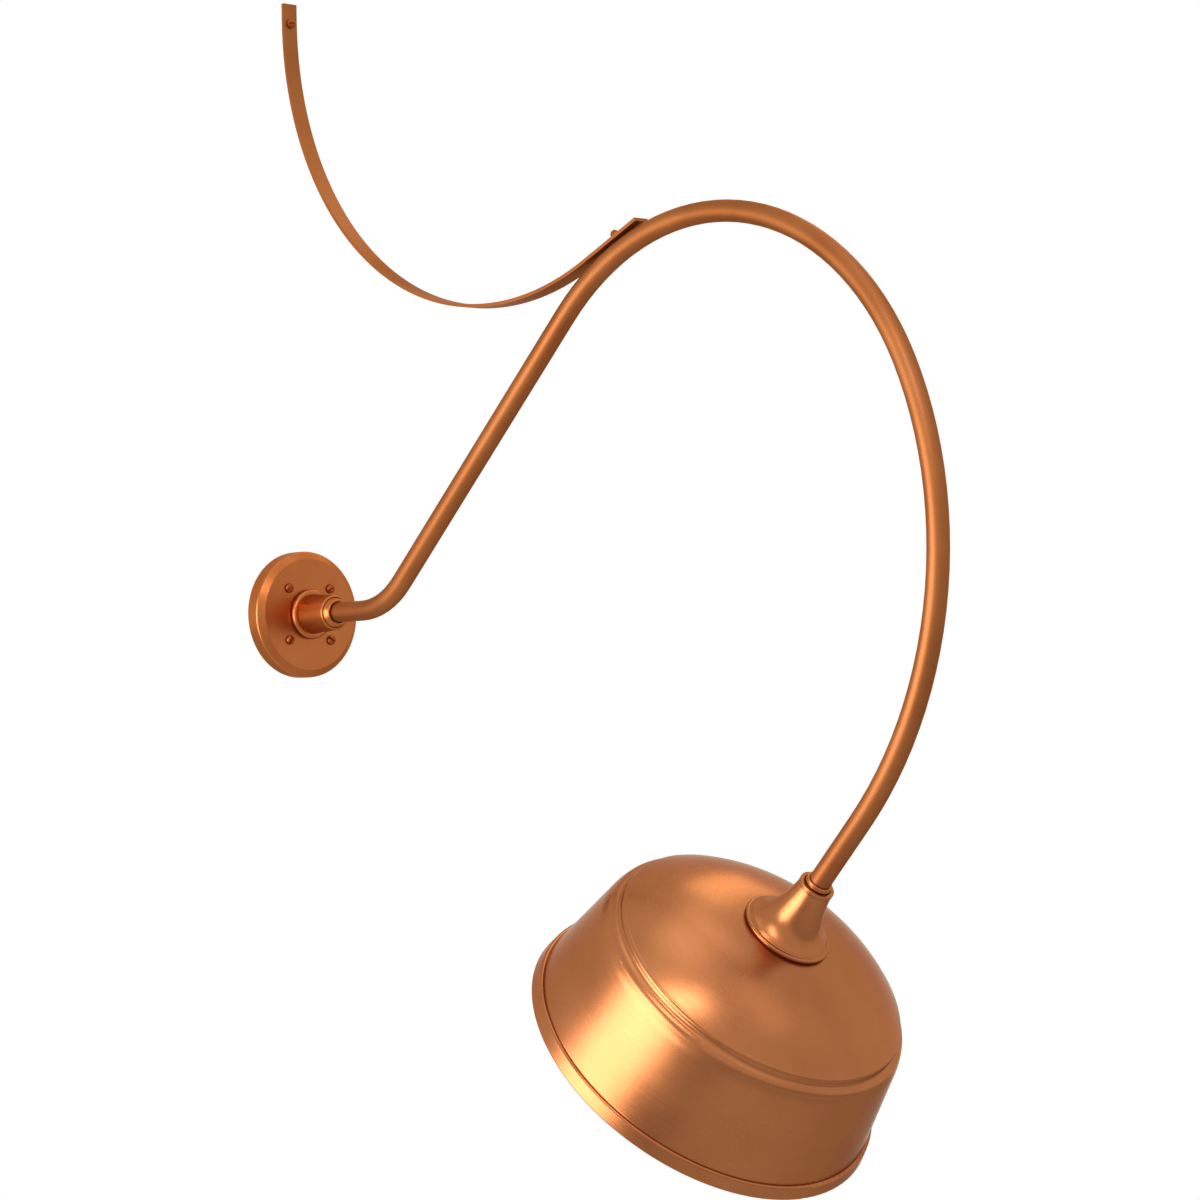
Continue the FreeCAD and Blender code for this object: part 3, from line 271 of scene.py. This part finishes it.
spun_copper = satin_copper("copper_spun", SPUN, **SHADE_TURNED, rough=0.27, lacquer=0.35)
cast_copper = satin_copper("copper_turned_head", SPUN, **SHADE_TURNED, rough=0.30, lacquer=0.3,
                           seed=2.0)
plate_copper = satin_copper("copper_turned_plate", FITTING, **PLATE_TURNED, rough=0.34, lacquer=0.2,
                            seed=1.0)
tube_copper = satin_copper("copper_drawn", TUBE, rough=0.50, lacquer=0.15, seed=3.0)
# Darker copper on the screw heads: painted shade for the shadow in and round them
screw_copper_painted_shade = satin_copper("copper_screws_painted_shade", SCREW_PAINTED_SHADE, rough=0.36, seed=4.0)
steel = plated("steel_zinc", STEEL, rough=0.38)
brass = plated("brass_stamped", BRASS, rough=0.28)
nickel = plated("nickel_plate", NICKEL, rough=0.22)
porcelain = moulded("porcelain", (0.83, 0.81, 0.76), rough=0.22, shade=0.95, coat=0.6)
black_plastic = moulded("plastic_black", (0.022, 0.022, 0.024), rough=0.50)
grey_jacket = moulded("jacket_grey", (0.17, 0.17, 0.18), rough=0.55)
white_plastic = moulded("insulation_white", (0.78, 0.78, 0.75), rough=0.35)
green_plastic = moulded("insulation_green", (0.02, 0.19, 0.04), rough=0.35)
orange_plastic = moulded("connector_orange", (0.70, 0.18, 0.02), rough=0.35)
lamp_plastic = moulded("lamp_body_white", (0.80, 0.80, 0.79), rough=0.42)
frosted = moulded("lamp_frosted", (0.87, 0.87, 0.85), rough=0.48, shade=0.97, glow=0.3)
board_white = moulded("board_white", (0.80, 0.80, 0.78), rough=0.40)

FINISHES = {
    spun_copper: ["shade"],
    cast_copper: ["shade_holder", "neck_ferrule"],
    plate_copper: ["wall_plate", "hub"],
    tube_copper: ["arm_tube", "brace_strap"],
    screw_copper_painted_shade: ["plate_screws", "strap_wall_screw", "strap_clip_screw"],
    steel: ["hub_locknut", "hub_set_screw", "holder_set_screw", "jam_nut", "socket_screws",
            "shade_screws"],
    brass: ["socket_cap", "screw_shell", "centre_contact", "terminal_screws", "ground_screw",
            "lamp_contact"],
    nickel: ["lamp_cap"],
    porcelain: ["socket_body"],
    black_plastic: ["inlet_bushing", "outlet_bushing", "lead_live", "socket_lead_live"],
    grey_jacket: ["supply_cable"],
    white_plastic: ["lead_neutral", "socket_lead_neutral"],
    green_plastic: ["lead_ground"],
    orange_plastic: ["wire_connectors"],
    lamp_plastic: ["lamp_body"],
    board_white: ["led_board"],
    frosted: ["lamp_globe"],
}

for finish, names in FINISHES.items():
    for name in names:
        slots = nodes[name].data.materials
        slots.clear()
        slots.append(finish)


# ---------------------------------------------------------------- floor, light and camera

def make_floor():
    bpy.ops.mesh.primitive_circle_add(vertices=FLOOR_SIDES, radius=FLOOR_RADIUS, fill_type="NGON",
                                      location=FLOOR_PLACE)
    floor = bpy.context.object
    floor.name = "floor"
    graph = Graph("floor_pale")
    graph.set(Base_Color=FLOOR_COLOUR, Roughness=FLOOR_ROUGHNESS)
    floor.data.materials.append(graph.material)


def make_world():
    """White to the camera and in reflections; an even room light on everything else."""
    world = bpy.data.worlds.new("studio")
    world.use_nodes = True
    bpy.context.scene.world = world
    tree = world.node_tree
    tree.nodes.clear()
    path = tree.nodes.new("ShaderNodeLightPath")
    seen = path.outputs["Is Camera Ray"]
    for output in ("Is Glossy Ray", "Is Transmission Ray"):
        either = tree.nodes.new("ShaderNodeMath")
        either.operation = "MAXIMUM"
        tree.links.new(seen, either.inputs[0])
        tree.links.new(path.outputs[output], either.inputs[1])
        seen = either.outputs[0]
    mix = tree.nodes.new("ShaderNodeMixShader")
    factor, *shaders = mix.inputs
    tree.links.new(seen, factor)
    for colour, target in zip((ROOM_LIGHT, WHITE), shaders):
        background = tree.nodes.new("ShaderNodeBackground")
        background.inputs["Color"].default_value = colour
        tree.links.new(background.outputs["Background"], target)
    out = tree.nodes.new("ShaderNodeOutputWorld")
    tree.links.new(mix.outputs["Shader"], out.inputs["Surface"])


def direction(around, above):
    """Unit vector at an azimuth from -Y toward +X and an elevation, both in radians."""
    return Vector((math.sin(around) * math.cos(above), -math.cos(around) * math.cos(above),
                   math.sin(above)))


def softbox(name, aim, azimuth, elevation, distance, wide, tall, brightness):
    """Rectangular lamp that faces the aim point from an azimuth, an elevation and a distance."""
    way = direction(math.radians(azimuth), math.radians(elevation))
    data = bpy.data.lights.new(name, "AREA")
    data.shape = "RECTANGLE"
    data.size, data.size_y = wide, tall
    data.energy = brightness * math.pi * wide * tall
    lamp = bpy.data.objects.new(name, data)
    lamp.location = aim + way * distance
    lamp.rotation_euler = way.to_track_quat("Z", "Y").to_euler()
    bpy.context.scene.collection.objects.link(lamp)


def make_lights():
    low, high = cad_box
    aims = {"shade": SHADE_POINT - SHADE_AXIS * SHADE_TO_MIDDLE, "whole": (low + high) / 2}
    for name, (aim, *values) in SOFTBOXES.items():
        softbox(name, aims[aim], *values)


def make_camera():
    around, above, roll = (math.radians(angle) for angle in CAMERA_ANGLES)
    back = direction(around, above)
    right = Vector((math.cos(around), math.sin(around), 0))
    up = back.cross(right)
    right, up = (right * math.cos(roll) + up * math.sin(roll),
                 up * math.cos(roll) - right * math.sin(roll))
    data = bpy.data.cameras.new("camera")
    data.lens = CAMERA_LENS
    data.sensor_width = CAMERA_SENSOR
    data.clip_end = CAMERA_REACH
    camera = bpy.data.objects.new("camera", data)
    turned = Matrix((right, up, back)).transposed().to_4x4()
    camera.matrix_world = Matrix.Translation(CAMERA_PLACE) @ turned
    bpy.context.scene.collection.objects.link(camera)
    bpy.context.scene.camera = camera


make_floor()
make_world()
make_lights()
make_camera()
bpy.context.scene.view_settings.view_transform = "Standard"
